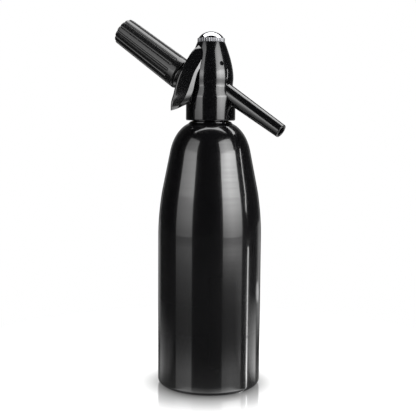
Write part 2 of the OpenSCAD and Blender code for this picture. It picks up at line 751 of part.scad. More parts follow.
module holder_sleeve() {
    lean = atan((holder_near_r - holder_far_r) / (sleeve_end - holder_near));
    near_edge = 1.6;
    far_edge = 0.9;
    outline = concat(
        [[liner_r + seat_fit, holder_near]],
        arc([holder_near_r - near_edge, holder_near + near_edge], near_edge, -90, -lean),
        arc([holder_far_r - far_edge, sleeve_end - far_edge], far_edge, 0, 90, 3),
        [[0, sleeve_end], [0, liner_end + seat_fit], [liner_r + seat_fit, liner_end + seat_fit]]);
    color([0.07, 0.07, 0.075]) holder_frame() difference() {
        rotate_extrude($fn = 96) polygon(outline);
        translate([0, 0, holder_near - 1])
            cylinder(r = holder_thread_r + run_fit, h = sleeve_thread_end - holder_near + 1);
        for (i = [0:grooves - 1]) rotate([0, 0, (i + 0.5) * 360 / grooves]) {
            start = holder_near + plain_band;
            start_r = holder_near_r - plain_band * tan(lean) + 0.2;
            translate([start_r, 0, start]) rotate([0, -lean, 0]) {
                cylinder(r = groove_r, h = sleeve_end - start + 5, $fn = 24);
                sphere(r = groove_r, $fn = 24);
            }
        }
    }
}

// Thin metal cup that holds the charger
module holder_liner() {
    start = sleeve_thread_end + seat_fit;
    color([0.8, 0.8, 0.82]) holder_frame() difference() {
        translate([0, 0, start]) cylinder(r = liner_r, h = liner_end - start);
        translate([0, 0, start - 1]) cylinder(r = liner_r - liner_wall, h = liner_end - liner_wall - start + 1);
    }
}

module gas_charger() {
    wall = 1.6;
    pierce_r = needle_r + 0.4;
    neck_end = charger_tip + 8.5;
    full = charger_tip + 17.5;
    tail = charger_end - 6;
    outer = concat(
        [[pierce_r, charger_tip], [charger_neck_r - 0.5, charger_tip], [charger_neck_r, charger_tip + 0.5]],
        [[charger_neck_r, neck_end]],
        curve([charger_neck_r + 0.1, neck_end + 0.3], [charger_r, neck_end + 3.5], [charger_r, full], 8),
        curve([charger_r, tail], [charger_r, charger_end], [0, charger_end], 10));
    inner = concat(
        curve([0, charger_end - wall], [charger_r - wall, charger_end - wall], [charger_r - wall, tail], 8),
        curve([charger_r - wall, full + 1], [charger_r - wall, neck_end + 4.5],
            [pierce_r, neck_end + 1], 6));
    color([0.78, 0.79, 0.8]) holder_frame() rotate_extrude() polygon(concat(outer, inner));
}

module cap_seal() {
    color([0.1, 0.1, 0.1])
        ring(cap_shank_r + 2.2 - soft_gap, cap_shank_r + soft_gap, 1.3 - 0.1, crown_z - 1.3 + 0.05);
}

// Chromed screw cap that closes the head over the lever's hub
module top_cap() {
    dome_r = cap_r - 0.7;
    ball = (dome_r * dome_r + dome_rise * dome_rise) / (2 * dome_rise);
    ring_top = crown_z + cap_ring_h;
    color([0.85, 0.85, 0.87]) difference() {
        union() {
            translate([0, 0, crown_z + seat_fit]) linear_extrude(height = cap_ring_h - seat_fit)
                difference() {
                    circle(r = cap_r, $fn = 96);
                    for (i = [0:flutes - 1]) rotate(i * 360 / flutes)
                        translate([cap_r + 0.1, 0]) circle(r = flute_r, $fn = 16);
                }
            intersection() {
                translate([0, 0, ring_top + dome_rise - ball]) sphere(r = ball, $fn = 96);
                translate([0, 0, ring_top - eps]) cylinder(r = dome_r, h = dome_rise + 1);
            }
            translate([0, 0, crown_z - cap_shank_len])
                cylinder(r = cap_shank_r, h = cap_shank_len + seat_fit + eps);
        }
        translate([0, 0, crown_z - cap_shank_len - 1]) cylinder(r = cap_shank_r - 1.8, h = cap_shank_len);
    }
}

bottle();
measuring_tube();
head_gasket();
head_housing();
neck_insert();
valve_body();
valve_seal();
valve_stem();
valve_washer();
stem_seal();
gland_nut();
valve_spring();
dip_tube_nut();
dip_tube();
pivot_pin();
lever_arm();
lever_paddle();
spout();
spout_seal();
inlet_shroud();
charger_nipple();
piercing_pin();
charger_seal();
check_valve();
holder_sleeve();
holder_liner();
gas_charger();
cap_seal();
top_cap();
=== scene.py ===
# Sparkling water maker: gloss black bottle with a dispensing head, thumb lever, spout, gas
# charger holder and chrome top cap. Meshes are in metres and outlines in millimetres, with
# the origin at the centre of the base and +Z up.
import math

import bmesh
import bpy
from mathutils import Matrix, Quaternion, Vector
from mathutils.bvhtree import BVHTree


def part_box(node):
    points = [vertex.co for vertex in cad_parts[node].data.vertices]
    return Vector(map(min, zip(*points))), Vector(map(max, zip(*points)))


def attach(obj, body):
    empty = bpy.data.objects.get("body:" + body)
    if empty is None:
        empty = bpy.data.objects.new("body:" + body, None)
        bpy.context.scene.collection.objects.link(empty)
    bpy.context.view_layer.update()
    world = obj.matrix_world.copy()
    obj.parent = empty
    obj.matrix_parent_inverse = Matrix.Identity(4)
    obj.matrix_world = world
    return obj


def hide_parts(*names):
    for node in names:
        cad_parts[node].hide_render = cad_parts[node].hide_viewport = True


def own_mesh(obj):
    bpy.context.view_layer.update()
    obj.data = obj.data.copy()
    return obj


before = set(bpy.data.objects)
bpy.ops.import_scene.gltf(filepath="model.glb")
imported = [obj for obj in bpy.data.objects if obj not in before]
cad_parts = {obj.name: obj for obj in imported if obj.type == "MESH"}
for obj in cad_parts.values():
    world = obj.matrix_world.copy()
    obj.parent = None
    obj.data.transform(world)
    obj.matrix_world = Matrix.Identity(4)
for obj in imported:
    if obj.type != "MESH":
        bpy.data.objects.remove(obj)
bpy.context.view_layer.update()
scene = bpy.context.scene
scene.view_settings.view_transform = "Standard"

# Camera: in front and 30 degrees to the right, just above the foot of the head, looking
# slightly down.
camera_azimuth = math.radians(30)
camera_pitch = math.radians(6.48)
camera_roll = math.radians(0.45)
lens = bpy.data.cameras.new("camera")
lens.lens = 75.5
lens.sensor_width = 36
lens.clip_start = 0.05
viewer = bpy.data.objects.new("camera", lens)
scene.collection.objects.link(viewer)
viewer.location = (0.3777, -0.6574, 0.2417)
line_of_sight = Vector(
    (
        -math.sin(camera_azimuth) * math.cos(camera_pitch),
        math.cos(camera_azimuth) * math.cos(camera_pitch),
        -math.sin(camera_pitch),
    )
)
viewer.rotation_mode = "QUATERNION"
viewer.rotation_quaternion = line_of_sight.to_track_quat("-Z", "Y") @ Quaternion((0, 0, 1), camera_roll)
scene.camera = viewer


# Studio: a dark room with a white sheet hung behind the object. The camera and the floor's
# mirror see plain white all round. Gloss sees the sheet's rim and upper part, a faint glow
# beside it and the dark room elsewhere, and dull surfaces get an even fill light.
class Wire:
    """One output of a shader node. Arithmetic on it adds Math nodes."""

    def __init__(self, tree, socket=None):
        self.tree = tree
        self.socket = socket

    def node(self, kind, settings=None, sockets=None, out=0):
        """Adds a node, sets it up, fills or links its sockets and gives one of its outputs.
        Stops among the settings are the greys along a colour ramp."""
        made = self.tree.nodes.new(kind)
        for name, value in (settings or {}).items():
            if name == "stops":
                ramp = made.color_ramp
                while len(ramp.elements) < len(value):
                    ramp.elements.new(1.0)
                for stop, (place, shade) in zip(ramp.elements, value):
                    stop.position = place
                    stop.color = (shade, shade, shade, 1)
            else:
                setattr(made, name, value)
        for name, value in (sockets or {}).items():
            if isinstance(value, Wire):
                self.tree.links.new(value.socket, made.inputs[name])
            else:
                made.inputs[name].default_value = value
        return Wire(self.tree, made.outputs[out]) if len(made.outputs) else None

    def math(self, operation, *values):
        return self.node("ShaderNodeMath", {"operation": operation}, dict(enumerate(values)))

    def vector_math(self, operation, other=(0, 0, 0), out=0):
        return self.node("ShaderNodeVectorMath", {"operation": operation}, {0: self, 1: other}, out)

    def ramp(self, low, high, top=1.0, foot=0.0):
        """A share that passes from foot at low to top at high and is level outside them."""
        sockets = {"Value": self, "From Min": low, "From Max": high, "To Min": foot, "To Max": top}
        return self.node("ShaderNodeMapRange", None, sockets)

    def __add__(self, other):
        return self.math("ADD", self, other)

    def __sub__(self, other):
        return self.math("SUBTRACT", self, other)

    def __rsub__(self, other):
        return self.math("SUBTRACT", other, self)

    def __mul__(self, other):
        return self.math("MULTIPLY", self, other)

    def __truediv__(self, other):
        return self.math("DIVIDE", self, other)

    __radd__ = __add__
    __rmul__ = __mul__


world = bpy.data.worlds.new("studio")
scene.world = world
world.use_nodes = True
world.node_tree.nodes.clear()
air = Wire(world.node_tree)
ray_kinds = ("Is Camera Ray", "Is Transmission Ray", "Is Glossy Ray", "Is Singular Ray")
camera_ray, through_ray, glossy_ray, sharp_ray = (
    air.node("ShaderNodeLightPath", out=kind) for kind in ray_kinds
)
away = Vector((-math.sin(camera_azimuth), math.cos(camera_azimuth), 0))
right = Vector((math.cos(camera_azimuth), math.sin(camera_azimuth), 0))
direction = air.node("ShaderNodeTexCoord")
behind = direction.vector_math("DOT_PRODUCT", away, "Value")
beside = direction.vector_math("DOT_PRODUCT", right, "Value")
rise = air.node("ShaderNodeSeparateXYZ", None, {0: direction}, out="Z")
dark_room, fill_light = 0.002, 0.34
sheet_rim = behind.ramp(0.84, 0.89, 0.25) * behind.ramp(0.93, 0.90)
sheet_top = behind.ramp(0.84, 0.88) * rise.ramp(0.18, 0.22) * (beside * beside).ramp(0.035, 0.025)
mirrored = dark_room + sheet_rim + behind.ramp(0.3, 0.9, 0.03) + sheet_top
seen = air.math("MAXIMUM", camera_ray + through_ray, sharp_ray)
strength = seen + (1 - seen) * (glossy_ray * mirrored + (1 - glossy_ray) * fill_light)
backdrop = air.node("ShaderNodeBackground", None, {"Color": (1, 1, 1, 1), "Strength": strength})
air.node("ShaderNodeOutputWorld", None, {"Surface": backdrop})


# Softboxes: a wide one at the left, a brighter wide one at the right, a narrow low strip
# and a narrow leaning one beyond it, and a panel overhead. The wide ones are brightest
# half a metre up, a little above the object.
even = ((0.0, 1.0),)
fade_height = 2.5


def softbox(name, size, place, attitude, radiance, fade=even, spread=even):
    """A panel whose light changes with height, as fade says, and across it, as spread says."""
    panel = bpy.data.lights.new(name, "AREA")
    panel.shape = "RECTANGLE"
    panel.size, panel.size_y = size
    panel.energy = radiance * math.pi * size[0] * size[1]
    panel.use_nodes = True
    panel.node_tree.nodes.clear()
    point = Wire(panel.node_tree).node("ShaderNodeNewGeometry", out="Position")
    height = point.node("ShaderNodeSeparateXYZ", None, {0: point}, out="Z")
    offset = point.vector_math("DOT_PRODUCT", attitude @ Vector((1, 0, 0)), "Value")
    levels = [(z / fade_height, level) for z, level in fade]
    by_height = point.node("ShaderNodeValToRGB", {"stops": levels}, {0: height.ramp(0, fade_height)})
    across = offset.ramp(-size[0] / 2, size[0] / 2)
    by_width = point.node("ShaderNodeValToRGB", {"stops": spread}, {0: across})
    shade = by_height.vector_math("MULTIPLY", by_width)
    lamp = point.node("ShaderNodeEmission", None, {"Color": shade, "Strength": 1.0})
    point.node("ShaderNodeOutputLight", None, {"Surface": lamp})
    stand = bpy.data.objects.new(name, panel)
    scene.collection.objects.link(stand)
    stand.location = place
    stand.rotation_mode = "QUATERNION"
    stand.rotation_quaternion = attitude
    stand.visible_camera = False


def upright(name, azimuth, width, low, high, reach, radiance, fade=even, spread=even, lean=0):
    """A softbox on end, azimuth degrees to the right of the camera, width degrees wide."""
    turn = camera_azimuth + math.radians(azimuth)
    out = Vector((math.sin(turn), -math.cos(turn), 0))
    size = (2 * reach * math.tan(math.radians(width / 2)), high - low)
    place = out * reach + Vector((0, 0, (low + high) / 2))
    attitude = (-out).to_track_quat("-Z", "Y") @ Quaternion((0, 0, 1), math.radians(lean))
    softbox(name, size, place, attitude, radiance, fade, spread)


left_fade = [(0.0, 0.28), (0.1, 0.35), (0.2, 0.46), (0.33, 0.5), (0.41, 0.76), (0.5, 0.85)]
left_fade += [(0.62, 0.8), (0.66, 0.5), (1.4, 0.42)]
right_fade = [(0.0, 0.28), (0.1, 0.35), (0.2, 0.5), (0.33, 0.68), (0.45, 0.85), (0.55, 1.05)]
right_fade += [(0.62, 1.0), (0.66, 0.6), (1.4, 0.5)]
left_spread = ((0.0, 0.65), (1.0, 1.2))
right_spread = ((0.0, 0.8), (0.45, 1.18), (1.0, 0.88))
upright(
    "softbox_left", azimuth=-58.4, width=40, low=0, high=1.4, reach=1.2, radiance=2.2,
    fade=left_fade, spread=left_spread,
)
upright(
    "softbox_right", azimuth=52.3, width=46.8, low=0, high=1.4, reach=1.2, radiance=4.3,
    fade=right_fade, spread=right_spread,
)
upright("strip_low", azimuth=85.5, width=3.5, low=0, high=0.1, reach=0.2, radiance=4.0)
upright("strip_high", azimuth=93.5, width=2.6, low=0.17, high=0.63, reach=1.3, radiance=4.0, lean=-28)
overhead_place = away * 0.37 + right * 0.25 + Vector((0, 0, 1.3))
facing_down = Quaternion((0, 0, 1), camera_azimuth)
softbox("overhead", size=(1.9, 0.8), place=overhead_place, attitude=facing_down, radiance=2.6)


# Floor: a plain white sweep of flat rings that the object stands on. It takes a soft shadow
# and a faint mirror image close to the object, and melts into the background further out.
floor_rings = [0.06, 0.12, 0.2, 0.35, 0.6, 1.0, 1.6]
floor_sides = 64
floor_z = -0.0002
corners = [Vector((0, 0, floor_z))]
for ring in floor_rings:
    for i in range(floor_sides):
        turn = 2 * math.pi * i / floor_sides
        corners.append(Vector((ring * math.cos(turn), ring * math.sin(turn), floor_z)))
tiles = [(0, 1 + i, 1 + (i + 1) % floor_sides) for i in range(floor_sides)]
for k in range(len(floor_rings) - 1):
    for i in range(floor_sides):
        a, b = 1 + k * floor_sides + i, 1 + k * floor_sides + (i + 1) % floor_sides
        tiles.append((a, a + floor_sides, b + floor_sides, b))
floor_mesh = bpy.data.meshes.new("floor")
floor_mesh.from_pydata(corners, [], tiles)
floor = bpy.data.objects.new("floor", floor_mesh)
scene.collection.objects.link(floor)


def new_material(name):
    """An empty material, and the place on the piece that its pattern is worked out from."""
    made = bpy.data.materials.new(name)
    made.use_nodes = True
    made.node_tree.nodes.clear()
    return made, Wire(made.node_tree).node("ShaderNodeTexCoord", out="Object")


white, ground = new_material("floor_white")
floor_mesh.materials.append(white)


def emission(colour, strength=1.0):
    return ground.node("ShaderNodeEmission", None, {"Color": colour, "Strength": strength})


def mixed(share, first, second):
    """A shader that passes from the first to the second as the share grows."""
    return ground.node("ShaderNodeMixShader", None, {0: share, 1: first, 2: second})


def painted(colour, roughness, metallic=0.0):
    sockets = {"Base Color": colour, "Roughness": roughness, "Metallic": metallic}
    return ground.node("ShaderNodeBsdfPrincipled", None, sockets)


# Floor as the camera sees it: lit white paper that turns plain white further out, with a
# mirror under the object whose colour is darkened towards the foot as painted contact shadow.
distance = ground.vector_math("LENGTH", out="Value")
matt = painted((0.9, 0.9, 0.9, 1), 0.5)
lit = ground.node("ShaderNodeAddShader", None, {0: matt, 1: emission((1, 1, 1, 1), 0.6)})
paper = mixed(distance.ramp(0.10, 0.30), lit, emission((1, 1, 1, 1)))
# Painted contact shadow: the mirror's colour dims close to the foot
mirror = painted(distance.ramp(0.045, 0.062, foot=0.35), 0.0, 1.0)
polished = mixed(distance.ramp(0.095, 0.04, 0.85), paper, mirror)

# Floor as gloss sees it: a dark polished table with painted shadow in front, painted light at
# both sides, a painted bright line at the right and a painted glow in front of the foot. Span
# and bearing run from the points where the bottle's outline meets the floor, and a bearing of
# 1 is straight back.
rearward = ground.vector_math("DOT_PRODUCT", away, "Value")
sideways = ground.vector_math("DOT_PRODUCT", right, "Value")
at_right = sideways.ramp(-0.001, 0.001)
at_left = 1 - at_right
outline_side, outline_front = 0.041, 0.018
outward = sideways * (2 * at_right - 1) - outline_side
backward = rearward + outline_front
span = ground.math("SQRT", outward * outward + backward * backward)
bearing = backward / span

# Painted light at both sides, standing in for lit paper, with a brighter band along its outer edge
glow_right = (bearing.ramp(-0.05, 0.2, 0.75) + bearing.ramp(0.2, 0.6, 0.32)) * bearing.ramp(0.74, 0.62)
glow_left = bearing.ramp(-0.3, 0.05, 0.16) * span.ramp(0.26, 0.1) + bearing.ramp(0.3, 0.7, 0.16)
glow_left = glow_left * bearing.ramp(0.87, 0.77)
sides = (at_right * glow_right + at_left * glow_left) * span.ramp(0.36, 0.08) * span.ramp(0.012, 0.05)
edges = at_right * bearing.ramp(0.62, 0.8, 0.3) + at_left * bearing.ramp(0.76, 0.86, 0.25)
edges = edges * span.ramp(0.12, 0.26) * bearing.ramp(0.96, 0.88)

# Painted light: a bright line running out at the right, a glow before the foot, a patch far back
line_slope, line_side, line_front, line_end = 0.096, 0.033, 0.0342, 0.2
off_line = (rearward - line_slope * sideways + line_front) / (sideways - line_side)
bright_line = at_right * (off_line * off_line).ramp(0.003, 0.0006, 3.6) * distance.ramp(line_end, 0.19)
foot = 0.6 + sideways.ramp(0.0, 0.035, 1.2) + sideways.ramp(0.0, -0.035, 0.3)
foot = foot * rearward.ramp(-0.005, -0.035) * distance.ramp(0.065, 0.05) * distance.ramp(0.046, 0.05)
foot = foot * (sideways * sideways).ramp(0.0015, 0.001)
patch_side, patch_back = 0.3, 0.28
off_side, off_back = sideways - patch_side, rearward - patch_back
far_patch = (off_back * off_back + off_side * off_side).ramp(0.006, 0.002, 0.8)
painted_light = sides + edges + bright_line + foot + far_patch + distance.ramp(0.14, 0.06, 0.08)

# How strongly the table shines at each distance from the object
gain = [(0.07, 0.24), (0.095, 0.26), (0.13, 0.22), (0.17, 0.14), (0.22, 0.1), (0.33, 0.105)]
gain += [(0.39, 0.15), (0.46, 0.2), (0.54, 0.27), (0.64, 0.4), (0.7, 0.5), (0.76, 0.66)]
gain += [(0.84, 0.66), (0.89, 0.45), (1.0, 0.4)]
by_distance = ground.node("ShaderNodeValToRGB", {"stops": gain}, {0: distance})
# Painted shadow: the table shines less in front of the object, at its right
front_right_shade = at_right * distance.ramp(0.75, 0.45) * bearing.ramp(-0.3, -0.62, 0.75)
share = by_distance * (1 - front_right_shade) * (1 + at_right * distance.ramp(0.19, 0.1, 0.7))
glaze = ground.node("ShaderNodeBsdfAnisotropic", None, {"Color": (1, 1, 1, 1), "Roughness": 0.1})
table = mixed(share, painted((0.004, 0.004, 0.004, 1), 1.0), glaze)
reflected = ground.node("ShaderNodeAddShader", None, {0: table, 1: emission(painted_light)})
other = mixed(ground.node("ShaderNodeLightPath", out="Is Glossy Ray"), matt, reflected)
surface = mixed(ground.node("ShaderNodeLightPath", out="Is Camera Ray"), other, polished)
ground.node("ShaderNodeOutputMaterial", None, {"Surface": surface})


# Bottle: one-piece aluminium bottle with a straight wall, a long taper, a round shoulder
# and a neck, spun to shape and dipped in gloss black enamel.
def curve(a, b, c, n):
    """Points along a bend from a to c that heads for b."""
    a, b, c = Vector(a), Vector(b), Vector(c)
    return [tuple((1 - t) ** 2 * a + 2 * t * (1 - t) * b + t * t * c) for t in (i / n for i in range(n + 1))]


def arc(centre, radius, start, end, n=8):
    angles = [math.radians(start + (end - start) * i / n) for i in range(n + 1)]
    return [(centre[0] + radius * math.cos(a), centre[1] + radius * math.sin(a)) for a in angles]


def join(*lines):
    """One outline in metres from stretches of points in millimetres, without doubles."""
    points = []
    for line in lines:
        for r, z in line:
            if not points or math.hypot(points[-1][0] - r, points[-1][1] - z) > 1e-4:
                points.append((r, z))
    return [(r / 1000, z / 1000) for r, z in points]


def bands(rings, n, closed=False):
    """Four-sided faces between rings of n points, and from the last to the first if closed."""
    pairs = [(k, (k + 1) % rings) for k in range(rings if closed else rings - 1)]
    steps = [(i, (i + 1) % n) for i in range(n)]
    return [(a * n + i, a * n + j, b * n + j, b * n + i) for a, b in pairs for i, j in steps]


def add_piece(name, verts, faces, body, material, place=None, sharp=38):
    """A mesh piece that shines smoothly over bends of less than sharp degrees."""
    mesh = bpy.data.meshes.new(name)
    mesh.from_pydata([tuple(place @ Vector(v)) for v in verts] if place else verts, [], faces)
    mesh.validate()
    shape = bmesh.new()
    shape.from_mesh(mesh)
    bmesh.ops.remove_doubles(shape, verts=shape.verts, dist=1e-7)
    bmesh.ops.recalc_face_normals(shape, faces=shape.faces)
    shape.to_mesh(mesh)
    shape.free()
    mesh.shade_smooth()
    mesh.set_sharp_from_angle(angle=math.radians(sharp))
    mesh.materials.append(material)
    piece = bpy.data.objects.new(name, mesh)
    scene.collection.objects.link(piece)
    if body:
        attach(piece, body)
    return piece


def turned(name, outline, around, body, material, place=None):
    """A lathe-turned solid from a closed outline of radius and height."""
    turns = [2 * math.pi * i / around for i in range(around)]
    verts = [(r * math.cos(t), r * math.sin(t), z) for r, z in outline for t in turns]
    return add_piece(name, verts, bands(len(outline), around, closed=True), body, material, place)


def noise(place, scale, detail):
    return place.node("ShaderNodeTexNoise", None, {"Vector": place, "Scale": scale, "Detail": detail})


def relief(height, strength, depth):
    return height.node("ShaderNodeBump", None, {"Strength": strength, "Distance": depth, "Height": height})


def surface_finish(place, **sockets):
    """Ends a material in one shader, with sockets named as in the shader but for spaces."""
    named = {name.replace("_", " "): value for name, value in sockets.items()}
    shader = place.node("ShaderNodeBsdfPrincipled", None, named)
    place.node("ShaderNodeOutputMaterial", None, {"Surface": shader})


enamel, spot = new_material("black_enamel")
ripple = noise(spot.node("ShaderNodeMapping", None, {"Vector": spot, "Scale": (14, 14, 700)}), 1.0, 2.0)
peel = noise(spot, 380.0, 2.0)
dust = noise(spot, 60.0, 4.0)
surface_finish(
    spot,
    Base_Color=(0.004, 0.004, 0.0045, 1),
    Roughness=0.16 + dust * 0.06,
    IOR=1.6,
    Coat_Weight=0.75 + ripple * 0.5,
    Coat_Roughness=0.03,
    Coat_IOR=1.7,
    Normal=relief(ripple + peel * 0.25, 0.06, 0.0006),
)
bottle_r, straight_h, flare_rise = 45, 132, 38
taper_r, taper_top = 41.8, 170
shoulder_r, shoulder_z, fullness_rise = 34.8, 205, 15
crown_r, crown_z = 22, 227.4
taper_slope = 0.2
wall, base_t = 1.6, 2.5
foot_round, foot_ring_r, dome_rise = 4.5, 34, 5
neck_r, neck_z, thread_r, mouth_r, mouth_z, mouth_edge = 18.2, 229.9, 15.5, 12.6, 243.6, 0.8
axis_r = 0.05


def bottle_line(t):
    """The bottle's side from the straight wall to the neck, moved in by t."""
    flare = (bottle_r - t, straight_h + 0.47 * flare_rise)
    low = (shoulder_r - t, shoulder_z)
    fullest = (low[0] - taper_slope * fullness_rise, shoulder_z + fullness_rise)
    side = curve((bottle_r - t, straight_h), flare, (taper_r - t, taper_top), 28)
    return side + curve(low, fullest, (crown_r - t, crown_z - 0.6 * t), 28)


def base_dome(z):
    """The hollow pressed into the base, from the axis out to the foot ring."""
    return curve((axis_r, z + dome_rise), (0.6 * foot_ring_r, z + dome_rise), (foot_ring_r, z), 12)


base_outside = base_dome(0) + arc((bottle_r - foot_round, foot_round), foot_round, -90, 0, 12)
neck_outside = curve((crown_r, crown_z), (neck_r, neck_z - 0.2), (neck_r, neck_z), 6)
neck_outside += [(neck_r, neck_z + 0.6), (thread_r, neck_z + 1.6)]
neck_outside += [(thread_r, mouth_z - mouth_edge), (thread_r - mouth_edge, mouth_z)]
inner_round = foot_round - wall
bottle_inside = [(mouth_r, mouth_z), (mouth_r, neck_z - 1)] + bottle_line(wall)[::-1]
bottle_inside += arc((bottle_r - foot_round, base_t + inner_round), inner_round, 0, -90)
bottle_inside += base_dome(base_t)[::-1]
bottle_outline = join(base_outside, bottle_line(0), neck_outside, bottle_inside)
bottle = turned("bottle_shell", bottle_outline, 256, "bottle", enamel)
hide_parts("bottle")


# Head shell: collar over the bottle's neck, a smooth waist, and a bullet-shaped upper part
# with a slot and a pocket for the lever. One gloss black moulding.
def sweep(p0, p1, n):
    """Points up a wall that passes smoothly from one radius to another."""
    t = [i / n for i in range(n + 1)]
    return [(p0[0] + (p1[0] - p0[0]) * x * x * (3 - 2 * x), p0[1] + (p1[1] - p0[1]) * x) for x in t]


def cut(piece, tool):
    """Cuts the tool's shape out of the piece and takes the tool away."""
    knife = piece.modifiers.new("cut", "BOOLEAN")
    knife.object = tool
    knife.solver = "EXACT"
    graph = bpy.context.evaluated_depsgraph_get()
    made = bpy.data.meshes.new_from_object(piece.evaluated_get(graph))
    piece.modifiers.clear()
    piece.data = made
    bpy.data.objects.remove(tool)


def borrow_normals(piece, uncut):
    """Lets each corner that still lies on the uncut surface shine as it did there."""
    mesh = piece.data
    uncut.calc_loop_triangles()
    corner = [Vector(n.vector) for n in uncut.corner_normals]
    places = [v.co for v in uncut.vertices]
    tree = BVHTree.FromPolygons(places, [tuple(t.vertices) for t in uncut.loop_triangles], epsilon=0.0)
    tris = [tuple(t.loops) for t in uncut.loop_triangles]
    normals = [Vector((0, 0, 0))] * len(mesh.loops)
    cut_edge = 30
    mesh.set_sharp_from_angle(angle=math.radians(cut_edge))
    own = [Vector(n.vector) for n in mesh.corner_normals]
    on_surface, facing, still_facing = 2e-6, 0.9, 0.7
    for face in mesh.polygons:
        for loop in face.loop_indices:
            point = mesh.vertices[mesh.loops[loop].vertex_index].co
            nearest, flat, index, gap = tree.find_nearest(point)
            normals[loop] = own[loop]
            if index is None or gap > on_surface or flat.dot(face.normal) < facing:
                continue
            a, b, c = (uncut.vertices[uncut.loops[i].vertex_index].co for i in tris[index])
            area = (b - a).cross(c - a)
            weight = [
                (b - nearest).cross(c - nearest).dot(area),
                (c - nearest).cross(a - nearest).dot(area),
                (a - nearest).cross(b - nearest).dot(area),
            ]
            total = sum(weight)
            if abs(total) < 1e-30:
                continue
            blended = sum((corner[i] * (w / total) for i, w in zip(tris[index], weight)), Vector((0, 0, 0)))
            if blended.length > 1e-6 and blended.normalized().dot(face.normal) > still_facing:
                normals[loop] = blended.normalized()
    mesh.normals_split_custom_set(normals)


moulding, spot = new_material("gloss_black_moulding")
peel = noise(spot, 300.0, 2.0)
flow = noise(spot, 45.0, 1.0)
surface_finish(
    spot,
    Base_Color=(0.004, 0.004, 0.0045, 1),
    Roughness=0.14 + peel * 0.05,
    IOR=1.6,
    Coat_Weight=1.0,
    Coat_Roughness=0.04,
    Coat_IOR=1.7,
    Normal=relief(peel * 0.3 + flow, 0.05, 0.0005),
)
collar_r, collar_low, collar_top, collar_edge = 21.3, 231.8, 251.0, 1.2
waist_r, waist_z = 19.0, 262.3
belly_r, belly_z, bend_z = 19.4, 267.9, 279.6
nose_r, head_top = 11.9, 298.3
recess_r, web_z = 17.9, 246.6
boss_r, boss_end = 8.0, 26.5
spout_z, spout_tilt = 265.9, 32
holder_z, holder_tilt = 252, 33
lever_azimuth = -120
pin_z = 279.9
paddle_top, paddle_half = 16.6, 9.3
head_outside = [(recess_r, collar_low)]
head_outside += arc((collar_r - collar_edge, collar_low + collar_edge), collar_edge, -90, 0)
head_outside += sweep((collar_r, collar_top), (waist_r, waist_z), 24)
head_outside += sweep((waist_r, waist_z), (belly_r, belly_z), 14)
head_outside += curve((belly_r, belly_z), (belly_r, bend_z), (nose_r, head_top), 40)
head_outside += [(nose_r - 0.2, head_top)]
cap_seat, cap_thread, heel_room = (8.2, 297.0), (6.06, 287.4), (7.6, 269.6)
valve_seat, seal_seat, collar_recess = (8.05, 248.4), (9.4, web_z), (recess_r, web_z)
head_inside = []
bore_top = head_top
for r, low in (cap_seat, cap_thread, heel_room, valve_seat, seal_seat, collar_recess):
    head_inside += [(r, bore_top), (r, low)]
    bore_top = low
head = turned("head_shell", join(head_outside, head_inside), 256, None, moulding)
lever_place = Matrix.Rotation(math.radians(lever_azimuth), 4, "Z")


def branch_place(z, tilt):
    """Where a tube leaves the head's axis at a height, turned down from upright by tilt."""
    return Matrix.Translation((0, 0, z / 1000)) @ Matrix.Rotation(math.radians(tilt), 4, "Y")


spout_place = branch_place(spout_z, 90 + spout_tilt)
holder_place = branch_place(holder_z, holder_tilt - 90)


def paddle_half_width(h):
    """Half width of the lever's paddle at a height above the pin."""
    t = (paddle_top - h) / paddle_top
    return paddle_half if h <= 0 else paddle_half * (1 - (1 - min(t, 1)) ** 2.3) ** 0.55


def block(name, outline, near, far):
    """A prism along the lever's direction from an outline of width and height."""
    n = len(outline)
    verts = [(u / 1000, w / 1000, z / 1000) for u in (near, far) for w, z in outline]
    faces = [tuple(range(n)), tuple(range(2 * n - 1, n - 1, -1))] + bands(2, n)
    return add_piece(name, verts, faces, None, moulding, lever_place)


def drill(name, radius, near, far, around, place):
    """A round cutting tool along a line, from near to far on it."""
    outline = [(0.01, near), (radius, near), (radius, far), (0.01, far)]
    return turned(name, join(outline), around, None, moulding, place)


pocket_gap, pocket_height, pocket_steps = 0.5, 30.1, 48
heights = [paddle_top - i * pocket_height / pocket_steps for i in range(pocket_steps + 1)]
side = [(paddle_half_width(h) + pocket_gap, pin_z + h) for h in heights]
pocket = [(0, pin_z + paddle_top + pocket_gap)] + side + [(-w, z) for w, z in reversed(side)]
slot_half, slot_low, slot_high = 4.2, pin_z - 8.5, pin_z + 6
slot = [(-slot_half, slot_low), (slot_half, slot_low), (slot_half, slot_high), (-slot_half, slot_high)]
pin_line = Matrix.Translation((0, 0, pin_z / 1000)) @ lever_place @ Matrix.Rotation(math.radians(90), 4, "X")
uncut_head = head.data.copy()
cut(head, block("lever_pocket", pocket, near=9, far=30))
cut(head, block("slot", slot, near=0, far=24))
for turn in (0, 180):
    there = pin_line @ Matrix.Rotation(math.radians(turn), 4, "X")
    cut(head, drill("pin_hole", radius=1.9, near=15.1, far=24, around=48, place=there))
cut(head, drill("socket", radius=7.5, near=12, far=40, around=96, place=spout_place))
cut(head, drill("spot_face", radius=9.3, near=boss_end, far=40, around=96, place=holder_place))
borrow_normals(head, uncut_head)
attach(head, "head")
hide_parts("head_housing")


# Boss for the charger inlet: the short round stub of the same moulding that the inlet's
# cone stands on, behind the head.
boss_bore, boss_start = 5.05, 12
boss_outline = [(boss_bore, boss_start), (boss_r, boss_start), (boss_r, boss_end), (boss_bore, boss_end)]
boss = turned("inlet_boss", join(boss_outline), 96, "head", moulding, holder_place)


